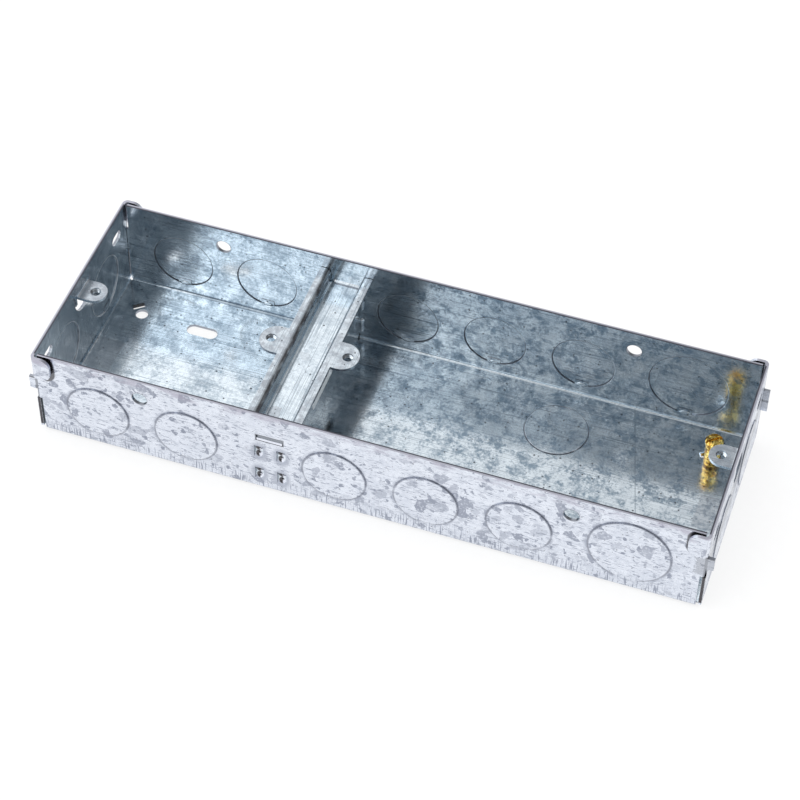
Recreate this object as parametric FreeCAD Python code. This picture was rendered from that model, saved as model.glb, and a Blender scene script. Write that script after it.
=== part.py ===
"""Flush back box for wall plaster: one gang and two gangs in one folded steel tray, parted by a bridge."""
import FreeCAD, Part
import math
import os

V = FreeCAD.Vector
X, Y, Z = V(1, 0, 0), V(0, 1, 0), V(0, 0, 1)

# Sheet and tray
SHEET = 1.0            # steel thickness
BEND = 0.8             # inside radius of every fold
WIDTH = 72.0           # over the outer faces of the long walls
DEPTH = 35.0           # from the underside of the floor to the rim
SLIP = 0.2             # clearance of pieces that are put together by hand

# Screw lugs, from left to right
SMALL_GANG = 60.3      # lug centres of the one-gang side
LARGE_GANG = 120.6     # lug centres of the two-gang side
GANG_GAP = 25.7        # between the two lugs of the bridge
LUG_INSET = 5.7        # lug hole to the outer face of its end wall
LUG_DROP = 5.2         # rim to the top of every lug
LUG_HOLE = 1.75        # radius of the screw hole
LUG_COLLAR = 2.7       # radius of the collar drawn down around it
COLLAR_DROP = 1.1
END_LUG_WIDTH = 8.5
END_LUG_NOSE = 3.8     # lug hole to the tip
WINDOW_WIDTH = 12.4    # hole left in the end wall where its lug was cut out
WINDOW_DROP = 13.2     # rim to the foot of that hole

# Knockouts: discs half sheared out of the sheet, each held by a tag at its foot
SMALL_KNOCKOUT = 10.4  # radius for 20 mm conduit
LARGE_KNOCKOUT = 13.0  # radius for 25 mm conduit
KNOCKOUT_PITCH = 29.8
SMALL_RISE = 15.5      # disc centre above the underside of the floor
LARGE_RISE = 17.5
FIRST_REACH = 8.2      # right lug of the bridge to the first disc beside it
LARGE_END = 23.8       # right end to the centre of the large disc
END_SPREAD = 32.0      # between the two discs of an end wall
FLOOR_DISC_END = 61.4  # right end to the disc in the floor
FLOOR_DISC_BACK = 18.6 # back wall to the disc in the floor
SHEAR = 0.3            # how far a disc is pushed out of the sheet
TAG_WIDTH = 4.5
TAG_RISE = 2.0         # reach of the tag into the disc

# Fixing holes
SIDE_HOLE = 2.5        # radius, in both long walls
SIDE_HOLE_DROP = 7.65  # rim to its centre
SIDE_HOLE_END = 42.5   # right end to the right-hand pair
END_SLOT_LENGTH = 6.6
END_SLOT_HEIGHT = 3.6
END_SLOT_DROP = 8.0    # rim to its centre
END_SLOT_SIDE = 8.7    # long wall to its centre
FIX_SLOT_LENGTH = 10.7
FIX_SLOT_WIDTH = 4.6
FIX_SLOT_END = 33.0    # end wall to its centre
FIX_SLOT_SIDE = 16.2   # long wall to its centre
MIDDLE_HOLE = 2.2      # radius of the hole in the floor under the bridge

# Corners: ears of the end walls lap the long walls, tongues of the long walls hook past the end walls
EAR_HEIGHT = 9.0
EAR_LENGTH = 6.5
EAR_ROUND = 3.2
TONGUE_DROP = 10.7     # rim to the top of the tongue
TONGUE_HEIGHT = 5.1
TONGUE_OUT = 1.9       # reach past the end wall
TONGUE_ROOT = 9.2      # height of the wider root behind it
PRONG_SLIT = 0.9       # slit that parts the tongues of the back wall

# Bridge and divider
SIDE_DROP = 5.6        # lug top down to the top of the bridge's web
WEB_WIDTH = 10.8       # between the upright sides of the bridge
FLANGE_OUT = 2.5       # flange beyond each side
BRIDGE_LUG = 5.7       # radius of the rounded lug
BRIDGE_NOSE = 3.7      # lug hole to the tip
DIVIDER_WIDTH = 8.4    # over the two walls, and over the bridge's end tabs
SLOT_HEIGHT = 2.3      # height of the slot that takes an end tab
PASSAGE_LENGTH = 19.0  # cable window through the divider
PASSAGE_SILL = 0.46    # its foot and its top, as shares of the divider's top
PASSAGE_HEAD = 0.85
PASSAGE_ROUND = 2.0

# Dimples of the long walls that the ends of the divider snap over
DIMPLE_WIDTH = 3.0
DIMPLE_HEIGHT = 5.2
DIMPLE_DEPTH = 0.8
DIMPLE_LOW = 7.3
DIMPLE_HIGH = 17.5

# Earth terminal
EARTH_END = 11.0       # end wall to the terminal, and to the spare hole at the other end
EARTH_BACK = 15.4      # back wall to the terminal
EARTH_HOLE = 2.1       # radius of the hole that the pillar is riveted in
PILLAR = 2.7
PILLAR_HEIGHT = 9.4
WIRE_HOLE = 1.5
WIRE_RISE = 4.2
SCREW = 1.6
SCREW_HEAD = 2.95
HEAD_HEIGHT = 2.1
HEAD_SLOPE = 0.7
SCREW_SLOT = 0.8
STOP_LENGTH = 4.0      # lanced stop beside an earth hole
STOP_WIDTH = 1.8
STOP_TILT = 38.0
STOP_TURN = 38.0
STOP_REACH = 4.7       # earth hole to the root of the stop

# Places worked out from the sizes above
LENGTH = 2 * LUG_INSET + SMALL_GANG + GANG_GAP + LARGE_GANG
RIGHT = LENGTH / 2
LEFT = -RIGHT
BACK = WIDTH / 2
FOLD = BEND + SHEET
LUG_TOP = DEPTH - LUG_DROP
END_LUGS = (LEFT + LUG_INSET, RIGHT - LUG_INSET)
BRIDGE_LUGS = (END_LUGS[0] + SMALL_GANG, END_LUGS[1] - LARGE_GANG)
BRIDGE_X = sum(BRIDGE_LUGS) / 2
SMALL_X = (END_LUGS[0] + BRIDGE_LUGS[0]) / 2
WEB_TOP = LUG_TOP - SIDE_DROP
DIVIDER_TOP = WEB_TOP - SHEET
DIVIDER_WALL = (DIVIDER_WIDTH - SHEET) / 2
EARTH_X = RIGHT - EARTH_END
EARTH_Y = BACK - EARTH_BACK
PILLAR_TOP = SHEET + PILLAR_HEIGHT
DIMPLES = [(BRIDGE_X + side * DIVIDER_WALL, rise) for side in (-1, 1) for rise in (DIMPLE_LOW, DIMPLE_HIGH)]


def block(x_span, y_span, z_span):
    """Box between two limits in each direction."""
    low = V(x_span[0], y_span[0], z_span[0])
    size = V(x_span[1], y_span[1], z_span[1]) - low
    return Part.makeBox(size.x, size.y, size.z, low)


def outline(edges):
    """Flat face inside a closed run of edges, dropping any of no length."""
    kept = [edge for edge in edges if edge.Length > 1e-6]
    return Part.Face(Part.Wire(Part.sortEdges(kept)[0]))


def straight(start, end):
    if start.distanceToPoint(end) < 1e-6:
        return []
    return [Part.makeLine(start, end)]


def sheet_section(middle):
    """Section of sheet along a middle line of (x, y) corners, each corner folded to the BEND radius."""
    corners = [V(x, y, 0) for x, y in middle]
    runs = [(b - a).normalize() for a, b in zip(corners, corners[1:])]
    sides = [V(-run.y, run.x, 0) for run in runs]
    radius = BEND + SHEET / 2
    edges = []
    for offset in (SHEET / 2, -SHEET / 2):
        last = corners[0] + sides[0] * offset
        for index in range(1, len(corners) - 1):
            before, after = runs[index - 1], runs[index]
            turn = math.copysign(1, before.cross(after).z)
            setback = radius * math.tan(before.getAngle(after) / 2)
            enter = corners[index] - before * setback
            leave = corners[index] + after * setback
            centre = enter + sides[index - 1] * turn * radius
            outward = (corners[index] - centre).normalize()
            arc_start = enter + sides[index - 1] * offset
            arc_middle = centre + outward * (radius - turn * offset)
            arc_end = leave + sides[index] * offset
            edges += straight(last, arc_start)
            edges.append(Part.Arc(arc_start, arc_middle, arc_end).toShape())
            last = arc_end
        edges += straight(last, corners[-1] + sides[-1] * offset)
    for end, side in ((corners[0], sides[0]), (corners[-1], sides[-1])):
        edges += straight(end + side * SHEET / 2, end - side * SHEET / 2)
    return outline(edges)


def folded_sheet(middle, run, up, breadth):
    """Sheet folded along a middle line drawn on the run and up axes, centred over its breadth."""
    normal = run.cross(up)
    strip = sheet_section(middle).extrude(Z * breadth)
    strip.Placement = FreeCAD.Placement(normal * (-breadth / 2), FreeCAD.Rotation(run, up, normal, "ZXY"))
    return strip


def obround(length, width):
    """Slot outline along the local X axis, with round ends."""
    reach = (length - width) / 2
    half = width / 2
    edges = straight(V(-reach, half), V(reach, half))
    edges += straight(V(-reach, -half), V(reach, -half))
    for side in (-1, 1):
        tip = V(side * (reach + half), 0)
        edges.append(Part.Arc(V(side * reach, half), tip, V(side * reach, -half)).toShape())
    return outline(edges)


def slot_punch(length, width):
    return obround(length, width).extrude(Z * SHEET)


def round_punch(radius):
    return Part.makeCylinder(radius, SHEET)


def knockout(radius):
    """Disc pushed out of the sheet, as the recess it leaves and the step it makes, clear of its tag."""
    tag = block((-TAG_WIDTH / 2, TAG_WIDTH / 2), (-2 * radius, TAG_RISE - radius), (-SHEAR, SHEET))
    recess = Part.makeCylinder(radius, SHEAR, V(0, 0, SHEET - SHEAR)).cut(tag)
    step = Part.makeCylinder(radius, SHEAR, V(0, 0, -SHEAR)).cut(tag)
    return recess, step


def dimple(height, width, level):
    """Upright rib with a curved back that rises DIMPLE_DEPTH above a level."""
    radius = (height ** 2 / 4 + DIMPLE_DEPTH ** 2) / (2 * DIMPLE_DEPTH)
    rib = Part.makeCylinder(radius, width, V(-width / 2, 0, level + DIMPLE_DEPTH - radius), X)
    return rib.common(block((-width, width), (-height, height), (level, level + DIMPLE_DEPTH)))


def on_wall(tool, wall, along, rise):
    """Place a tool with its local Z going into the sheet from its outer face, and its local Y upward."""
    origin, run, up = {
        "front": (V(along, -BACK, rise), -X, Z),
        "back": (V(along, BACK, rise), X, Z),
        "left": (V(LEFT, along, rise), Y, Z),
        "right": (V(RIGHT, along, rise), -Y, Z),
        "floor": (V(along, rise, 0), X, Y),
        "floor top": (V(along, rise, SHEET), X, -Y),
    }[wall]
    placed = tool.copy()
    turn = FreeCAD.Rotation(run, up, run.cross(up), "ZXY")
    placed.Placement = FreeCAD.Placement(origin, turn).multiply(tool.Placement)
    return placed


def lug_hole(x):
    depth = 2 * (SHEET + COLLAR_DROP)
    return Part.makeCylinder(LUG_HOLE, depth, V(x, 0, LUG_TOP - SHEET - 2 * COLLAR_DROP))


def lug_collar(x):
    return Part.makeCylinder(LUG_COLLAR, COLLAR_DROP, V(x, 0, LUG_TOP - SHEET - COLLAR_DROP))


def tray():
    """Floor with four walls folded up; each wall stops one fold radius short of its neighbour."""
    wall_y = BACK - SHEET / 2
    wall_x = RIGHT - SHEET / 2
    floor = SHEET / 2
    long_walls = [(-wall_y, DEPTH), (-wall_y, floor), (wall_y, floor), (wall_y, DEPTH)]
    end_walls = [(-wall_x, DEPTH), (-wall_x, floor), (wall_x, floor), (wall_x, DEPTH)]
    shape = folded_sheet(long_walls, Y, Z, LENGTH - 2 * FOLD)
    shape = shape.fuse(folded_sheet(end_walls, X, Z, WIDTH - 2 * FOLD))
    for inner, outer in ((LEFT, LEFT + SHEET), (RIGHT - SHEET, RIGHT)):
        shape = shape.fuse(block((inner, outer), (-BACK, BACK), (FOLD, DEPTH)))
    return shape.removeSplitter()


def corner_ear(end, side):
    """Ear at the top corner of an end wall, folded round to lap the outside of a long wall."""
    wall_x = end * (RIGHT - SHEET / 2)
    ear_y = side * (BACK + BEND + SHEET / 2)
    tip = end * (RIGHT - EAR_LENGTH)
    strip = folded_sheet([(wall_x, side * BACK), (wall_x, ear_y), (tip, ear_y)], X, Y, EAR_HEIGHT)
    strip.translate(Z * (DEPTH - EAR_HEIGHT / 2))
    free_edges = [edge for edge in strip.Edges
                  if abs(edge.CenterOfMass.x - tip) < 1e-6 and edge.Length < SHEET + 1e-6
                  and abs(edge.CenterOfMass.z - DEPTH + EAR_HEIGHT / 2) > SHEET]
    return strip.makeFillet(EAR_ROUND, free_edges)


def corner_tongue(end, side):
    """Tongue of a long wall that passes through the notch of an end wall and hooks past it."""
    wall = sorted((side * BACK, side * (BACK - SHEET)))
    root = sorted((end * (RIGHT - FOLD), end * (RIGHT - SHEET / 2)))
    hook = sorted((end * (RIGHT - FOLD), end * (RIGHT + TONGUE_OUT)))
    top = DEPTH - TONGUE_DROP
    shape = block(root, wall, (top - TONGUE_ROOT, top)).fuse(block(hook, wall, (top - TONGUE_HEIGHT, top)))
    if side > 0:
        low_top = top - TONGUE_HEIGHT
        shape = shape.fuse(block(hook, wall, (top - TONGUE_ROOT, low_top)))
        outer = sorted((end * RIGHT, end * (RIGHT + TONGUE_OUT)))
        shape = shape.cut(block(outer, wall, (low_top, low_top + PRONG_SLIT)))
    return shape


def corner_notch(end, side):
    """Gap in an end wall that clears the tongue."""
    wall = sorted((side * BACK, side * (BACK - SHEET - SLIP)))
    through = sorted((end * RIGHT, end * (RIGHT - SHEET)))
    top = DEPTH - TONGUE_DROP
    return block(through, wall, (top - TONGUE_ROOT - SLIP, top + SLIP))


def end_lug(end):
    """Lug cut from an end wall and folded inward, with a rounded nose."""
    wall_x = end * (RIGHT - SHEET / 2)
    hole_x = end * (RIGHT - LUG_INSET)
    nose = END_LUG_WIDTH / 2
    middle = LUG_TOP - SHEET / 2
    tip = end * (RIGHT - LUG_INSET - END_LUG_NOSE)
    strip = folded_sheet([(wall_x, LUG_TOP + BEND), (wall_x, middle), (tip, middle)], X, Z, END_LUG_WIDTH)
    centre = V(tip + end * nose, 0, LUG_TOP - SHEET)
    plan = block(sorted((end * RIGHT, centre.x)), (-nose, nose), (LUG_TOP - SHEET, DEPTH))
    plan = plan.fuse(Part.makeCylinder(nose, LUG_DROP + SHEET, centre))
    return strip.common(plan).fuse(lug_collar(hole_x))


def lug_window():
    """Hole in an end wall that its lug was cut from, round at the foot; local origin at the rim."""
    half = WINDOW_WIDTH / 2
    foot = half - WINDOW_DROP
    top = LUG_TOP + BEND - DEPTH
    edges = straight(V(-half, top), V(half, top))
    edges += straight(V(-half, top), V(-half, foot)) + straight(V(half, top), V(half, foot))
    edges.append(Part.Arc(V(-half, foot), V(0, -WINDOW_DROP), V(half, foot)).toShape())
    return outline(edges).extrude(Z * SHEET)


def earth_stop(x):
    """Small tongue lanced up beside an earth hole, and the slit that it leaves."""
    tongue = block((0, STOP_LENGTH), (0, STOP_WIDTH), (0, SHEET))
    slit = tongue.copy()
    tongue.rotate(V(0, STOP_WIDTH, 0), X, -STOP_TILT)
    for shape in (tongue, slit):
        shape.translate(V(-STOP_LENGTH / 2, STOP_REACH - STOP_WIDTH, 0))
        shape.rotate(V(), Z, STOP_TURN)
        shape.translate(V(x, EARTH_Y, 0))
    keep = block((LEFT, RIGHT), (-BACK, BACK), (0, DEPTH))
    return tongue.common(keep), slit


def box_body():
    """The folded tray with its ears, tongues, lugs, dimples, knockouts and holes."""
    shape = tray()
    small_discs = [SMALL_X - KNOCKOUT_PITCH / 2, SMALL_X + KNOCKOUT_PITCH / 2]
    small_discs += [BRIDGE_LUGS[1] + FIRST_REACH + step * KNOCKOUT_PITCH for step in range(3)]
    discs = [("floor top", RIGHT - FLOOR_DISC_END, BACK - FLOOR_DISC_BACK, SMALL_KNOCKOUT)]
    cuts = []
    for wall in ("left", "right"):
        cuts.append(on_wall(lug_window(), wall, 0, DEPTH))
        for side in (-1, 1):
            discs.append((wall, side * END_SPREAD / 2, SMALL_RISE, SMALL_KNOCKOUT))
            slot = slot_punch(END_SLOT_LENGTH, END_SLOT_HEIGHT)
            cuts.append(on_wall(slot, wall, side * (BACK - END_SLOT_SIDE), DEPTH - END_SLOT_DROP))
    tab_slot = slot_box(DIVIDER_WIDTH + 2 * SLIP, SLOT_HEIGHT)
    for wall in ("front", "back"):
        discs += [(wall, along, SMALL_RISE, SMALL_KNOCKOUT) for along in small_discs]
        discs.append((wall, RIGHT - LARGE_END, LARGE_RISE, LARGE_KNOCKOUT))
        for along in (SMALL_X, RIGHT - SIDE_HOLE_END):
            cuts.append(on_wall(round_punch(SIDE_HOLE), wall, along, DEPTH - SIDE_HOLE_DROP))
        cuts.append(on_wall(tab_slot, wall, BRIDGE_X, DIVIDER_TOP - SLIP))
    cuts.append(on_wall(round_punch(MIDDLE_HOLE), "floor", BRIDGE_X, 0))
    fix_slot = slot_punch(FIX_SLOT_LENGTH, FIX_SLOT_WIDTH)
    for end in (-1, 1):
        cuts.append(on_wall(fix_slot, "floor", end * (RIGHT - FIX_SLOT_END), -end * (BACK - FIX_SLOT_SIDE)))
        cuts.append(on_wall(round_punch(EARTH_HOLE), "floor", end * EARTH_X, EARTH_Y))
    additions = []
    for wall, along, rise, radius in discs:
        recess, step = knockout(radius)
        cuts.append(on_wall(recess, wall, along, rise))
        additions.append(on_wall(step, wall, along, rise))
    for end in (-1, 1):
        stop, slit = earth_stop(end * EARTH_X)
        cuts.append(slit)
        additions += [stop, end_lug(end)]
        for side in (-1, 1):
            cuts.append(corner_notch(end, side))
            additions += [corner_ear(end, side), corner_tongue(end, side)]
    rib = dimple(DIMPLE_HEIGHT + SHEET, DIMPLE_WIDTH + SHEET, SHEET)
    dent = dimple(DIMPLE_HEIGHT, DIMPLE_WIDTH, 0)
    dents = [lug_hole(x) for x in END_LUGS]
    for wall in ("front", "back"):
        for x, rise in DIMPLES:
            additions.append(on_wall(rib, wall, x, rise))
            dents.append(on_wall(dent, wall, x, rise))
    return shape.cut(cuts).fuse(additions).cut(dents).removeSplitter()


def slot_box(width, height):
    return Part.makeBox(width, height, SHEET, V(-width / 2, 0, 0))


def bridge():
    """Hat-section bar across the tray, with one lug on each flange and end tabs through the long walls."""
    side = WEB_WIDTH / 2 + SHEET / 2
    flange = side + SHEET / 2 + FLANGE_OUT
    upper = LUG_TOP - SHEET / 2
    lower = WEB_TOP - SHEET / 2
    hat = [(-flange, upper), (-side, upper), (-side, lower), (side, lower), (side, upper), (flange, upper)]
    inside = WIDTH - 2 * SHEET - 2 * SLIP
    shape = folded_sheet(hat, X, Z, inside)
    shape.translate(X * BRIDGE_X)
    tabs = block((-DIVIDER_WIDTH / 2, DIVIDER_WIDTH / 2), (-BACK, BACK), (DIVIDER_TOP, WEB_TOP))
    tabs.translate(X * BRIDGE_X)
    shape = shape.fuse(tabs)
    for sign, hole_x in ((-1, BRIDGE_LUGS[0]), (1, BRIDGE_LUGS[1])):
        centre = hole_x - sign * (BRIDGE_LUG - BRIDGE_NOSE)
        root = BRIDGE_X + sign * (flange - FLANGE_OUT / 2)
        neck = block(sorted((root, centre)), (-BRIDGE_LUG, BRIDGE_LUG), (LUG_TOP - SHEET, LUG_TOP))
        nose = Part.makeCylinder(BRIDGE_LUG, SHEET, V(centre, 0, LUG_TOP - SHEET))
        nose = nose.cut(block(sorted((centre, centre - sign * LARGE_GANG)), (-BACK, BACK), (0, DEPTH)))
        shape = shape.fuse([neck, nose, lug_collar(hole_x)]).cut(lug_hole(hole_x))
    return shape.removeSplitter()


def divider():
    """Inverted channel that stands on the floor under the bridge, with a cable window in both walls."""
    wall = DIVIDER_WALL
    top = DIVIDER_TOP - SHEET / 2
    channel = [(-wall, SHEET), (-wall, top), (wall, top), (wall, SHEET)]
    shape = folded_sheet(channel, X, Z, WIDTH - 2 * SHEET - 2 * SLIP)
    shape.translate(X * BRIDGE_X)
    half = PASSAGE_LENGTH / 2
    span = (PASSAGE_SILL * DIVIDER_TOP, PASSAGE_HEAD * DIVIDER_TOP)
    passage = block((-DIVIDER_WIDTH, DIVIDER_WIDTH), (-half, half), span)
    corners = [edge for edge in passage.Edges if abs(edge.tangentAt(0).x) > 0.9]
    passage = passage.makeFillet(PASSAGE_ROUND, corners)
    passage.translate(X * BRIDGE_X)
    foot_corner = block((-DIVIDER_WIDTH, DIVIDER_WIDTH), (BACK - FOLD - SLIP, BACK), (0, FOLD + SLIP))
    foot_corner.translate(X * BRIDGE_X)
    shape = shape.cut([passage, foot_corner, foot_corner.mirror(V(), Y)])
    reach = (DIMPLE_HEIGHT + SHEET) / 2 + SLIP
    notch = block((-reach, reach), (-reach, reach), (SHEET, SHEET + DIMPLE_DEPTH + SLIP))
    return shape.cut([on_wall(notch, wall, x, rise) for wall in ("front", "back") for x, rise in DIMPLES])


def earth_terminal():
    """Brass pillar riveted in the floor, cross drilled for the wire and bored for the screw."""
    shape = Part.makeCylinder(PILLAR, PILLAR_HEIGHT, V(EARTH_X, EARTH_Y, SHEET))
    shape = shape.fuse(Part.makeCylinder(EARTH_HOLE, SHEET, V(EARTH_X, EARTH_Y, 0)))
    wire = Part.makeCylinder(WIRE_HOLE, 4 * PILLAR, V(EARTH_X - 2 * PILLAR, EARTH_Y, SHEET + WIRE_RISE), X)
    bore_foot = SHEET + WIRE_RISE
    bore = Part.makeCylinder(SCREW, PILLAR_TOP - bore_foot, V(EARTH_X, EARTH_Y, bore_foot))
    return shape.cut([wire, bore]).removeSplitter()


def earth_screw():
    """Round-headed slotted screw in the pillar, its end just above the wire hole."""
    foot = SHEET + WIRE_RISE + WIRE_HOLE
    shank = Part.makeCylinder(SCREW, PILLAR_TOP - foot, V(EARTH_X, EARTH_Y, foot))
    head = Part.makeCylinder(SCREW_HEAD, HEAD_HEIGHT, V(EARTH_X, EARTH_Y, PILLAR_TOP))
    top_edge = [edge for edge in head.Edges if edge.CenterOfMass.z > PILLAR_TOP + HEAD_HEIGHT - 1e-6]
    head = head.makeChamfer(HEAD_SLOPE, top_edge)
    slot = Part.makeBox(4 * SCREW_HEAD, SCREW_SLOT, HEAD_HEIGHT, V(-2 * SCREW_HEAD, -SCREW_SLOT / 2, 0))
    slot.rotate(V(), Z, STOP_TURN)
    slot.translate(V(EARTH_X, EARTH_Y, PILLAR_TOP + HEAD_HEIGHT / 2))
    return head.fuse(shank).cut(slot).removeSplitter()


NODES = {
    "box_body": box_body,
    "bridge": bridge,
    "divider": divider,
    "earth_terminal": earth_terminal,
    "earth_screw": earth_screw,
}

os.makedirs("parts", exist_ok=True)
for name, make in NODES.items():
    make().exportStep(f"parts/{name}.step")
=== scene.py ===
from math import pi, radians
from types import SimpleNamespace

import bpy
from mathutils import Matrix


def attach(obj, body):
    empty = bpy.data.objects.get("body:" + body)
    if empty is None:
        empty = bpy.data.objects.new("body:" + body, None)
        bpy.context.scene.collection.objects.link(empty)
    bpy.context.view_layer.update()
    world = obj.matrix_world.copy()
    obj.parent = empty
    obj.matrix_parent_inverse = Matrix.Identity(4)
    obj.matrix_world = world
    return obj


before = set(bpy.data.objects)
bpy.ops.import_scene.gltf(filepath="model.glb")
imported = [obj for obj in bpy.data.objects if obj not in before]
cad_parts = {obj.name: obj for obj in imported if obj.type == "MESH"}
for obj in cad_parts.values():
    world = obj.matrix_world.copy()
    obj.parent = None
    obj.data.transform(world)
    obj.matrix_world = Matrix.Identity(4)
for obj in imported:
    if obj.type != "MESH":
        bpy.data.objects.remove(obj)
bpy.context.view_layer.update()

# Box body. One sheet of galvanised steel about 1 mm thick, blanked, punched and folded up into a tray.
# The zinc coat shows rolling lines, soft spangle and pits; the outside is rubbed dull in patches, the
# half-sheared knockouts have dark edges, and the cut rim is raw. Lengths are in millimetres.
MM = 0.001
SHEET = 1.0
LONG_WALL = 35.0
END_WALL = 108.0
RIM = 34.9
LUG_TOP = 29.8
BRIDGE_MIDDLE = -30.15
FAR_AWAY = 100.0
SHARP = 0.1
# Pale fresh zinc; it also serves as a painted highlight on folds, knockout tags and end-wall knockout
# lines, end lug edges and the window sill.
PALE_AND_HIGHLIGHT_ZINC = (0.87, 0.945, 1.0, 1)
DEEP_ZINC = (0.30, 0.385, 0.465, 1)
# Dark zinc of rolling lines, blotches and the scratch; it also serves as painted shade on the folds left of
# the bridge.
LINE_AND_SHADE_ZINC = (0.26, 0.32, 0.38, 1)
PIT = (0.05, 0.05, 0.06, 1)
# Pale wiped zinc of the outside; it also serves as a painted highlight in the dimple bowls and on the tab
# ends of the bars.
WIPED_AND_HIGHLIGHT_ZINC = (0.80, 0.825, 0.92, 1)
# Grey rubbed zinc; round the dimples and knockouts it also serves as painted shade of the shallow slopes
# there.
RUBBED_AND_SHADE_ZINC = (0.34, 0.37, 0.45, 1)
BRUISED_ZINC = (0.42, 0.40, 0.49, 1)
# Dark grey of dirt and painted shade in the shear crack of the knockouts.
SHEAR_DIRT_AND_SHADE_ZINC = (0.36, 0.38, 0.44, 1)
# Dark grey of raw cut steel and of dirt specks; it also serves as painted shade in the tab gap, on the
# front tab of the bars, in the knockout lines and along lug edges.
CUT_AND_SHADE_ZINC = (0.22, 0.23, 0.26, 1)
HANDLED_ZINC = (0.36, 0.38, 0.42, 1)
# Near black used only as painted shade: in the dimple bowls, on the left stop, round the ears, in the
# corner slits, under the bars and in their bends.
PAINTED_SHADE_BLACK = (0.07, 0.065, 0.07, 1)
RIM_OUTSIDE = (0.50, 0.50, 0.57, 1)
RIM_INSIDE = (0.10, 0.10, 0.12, 1)


def node(tree, kind, feeds=(), **settings):
    """Add one shader node; a feed is another node's socket or a plain value."""
    made = tree.nodes.new("ShaderNode" + kind)
    for name, value in settings.items():
        setattr(made, name, value)
    for place, feed in dict(feeds).items():
        if isinstance(feed, bpy.types.NodeSocket):
            tree.links.new(feed, made.inputs[place])
        else:
            made.inputs[place].default_value = feed
    return made


def figure(tree, operation, *feeds):
    """One sum worked on the feeds."""
    return node(tree, "Math", enumerate(feeds), operation=operation).outputs[0]


def product(tree, *feeds):
    """All feeds multiplied."""
    total = feeds[0]
    for feed in feeds[1:]:
        total = figure(tree, "MULTIPLY", total, feed)
    return total


def ramp(tree, feed, low, high, start=0.0, end=1.0):
    """Smooth step from start, where the feed is low, to end, where it is high."""
    feeds = {"Value": feed, "From Min": low, "From Max": high, "To Min": start, "To Max": end}
    return node(tree, "MapRange", feeds, interpolation_type="SMOOTHSTEP").outputs[0]


def between(tree, feed, low, high, soft):
    """1 where the feed lies between low and high, with a soft edge inside both."""
    return product(tree, ramp(tree, feed, low, low + soft), ramp(tree, feed, high, high - soft))


def spot(tree, x, y, z):
    """A place put together from its three figures."""
    return node(tree, "CombineXYZ", {0: x, 1: y, 2: z}).outputs[0]


def parts(tree, place):
    """The three figures of a place or a direction."""
    return node(tree, "SeparateXYZ", {0: place}).outputs


def apart(tree, place, other=(0, 0, 0)):
    """Distance between two places."""
    return node(tree, "VectorMath", {0: place, 1: other}, operation="DISTANCE").outputs["Value"]


def nearer(tree, feed, middle, half):
    """How far the feed is past the nearer of two marks that lie half to each side of the middle."""
    off = figure(tree, "SUBTRACT", feed, middle)
    return figure(tree, "MULTIPLY_ADD", figure(tree, "SIGN", off), -half, off)


def millimetres(tree):
    """Place on the piece in millimetres."""
    place = node(tree, "TexCoord").outputs["Object"]
    return node(tree, "VectorMath", {0: place, "Scale": 1 / MM}, operation="SCALE").outputs[0]


def facing(tree):
    """Direction in which the face looks."""
    return node(tree, "NewGeometry").outputs["Normal"]


def lumps(tree, place, size, detail=3.0, shift=0.0, crisp=0.5):
    """Cloudy noise with lumps of one size in millimetres, or of three sizes along X, Y and Z."""
    sizes = size if isinstance(size, tuple) else (size, size, size)
    feeds = {"Vector": place, "Location": (shift, shift, shift), "Scale": [1 / length for length in sizes]}
    spread = node(tree, "Mapping", feeds).outputs[0]
    feeds = {"Vector": spread, "Scale": 1.0, "Detail": detail, "Roughness": crisp}
    return node(tree, "TexNoise", feeds).outputs[0]


def flakes(tree, place, size, shift=0.0):
    """Cells of a size in millimetres: two random shades for each, and the distance from its middle."""
    feeds = {"Vector": place, "Location": (shift, shift, shift), "Scale": (1 / size, 1 / size, 1 / size)}
    spread = node(tree, "Mapping", feeds).outputs[0]
    cells = node(tree, "TexVoronoi", {"Vector": spread, "Scale": 1.0})
    shades = node(tree, "SeparateColor", {0: cells.outputs["Color"]}).outputs
    return shades[0], shades[1], cells.outputs["Distance"]


def torn(tree, place, size, reach):
    """Place pushed about by noise, so that a pattern on it has ragged edges."""
    spread = node(tree, "Mapping", {"Vector": place, "Scale": (1 / size, 1 / size, 1 / size)}).outputs[0]
    push = node(tree, "TexNoise", {"Vector": spread, "Scale": 1.0, "Detail": 3.0}).outputs[1]
    feeds = {0: push, 1: (reach, reach, reach), 2: place}
    return node(tree, "VectorMath", feeds, operation="MULTIPLY_ADD").outputs[0]


def stain(tree, colour, share, shade):
    """The colour with a share of it covered by a shade."""
    return node(tree, "Mix", {0: share, 6: colour, 7: shade}, data_type="RGBA").outputs[2]


def mark(tree, coat, share, shade):
    """Cover a share of the coat with a shade."""
    coat.colour = stain(tree, coat.colour, share, shade)


def emboss(tree, coat, share, height):
    """Raise the coat by a height in millimetres, or sink it."""
    coat.height = figure(tree, "MULTIPLY_ADD", share, height, coat.height)


def roughen(tree, coat, share, more):
    """Make a share of the coat rougher."""
    coat.rough = figure(tree, "MULTIPLY_ADD", share, more, coat.rough)


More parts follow.
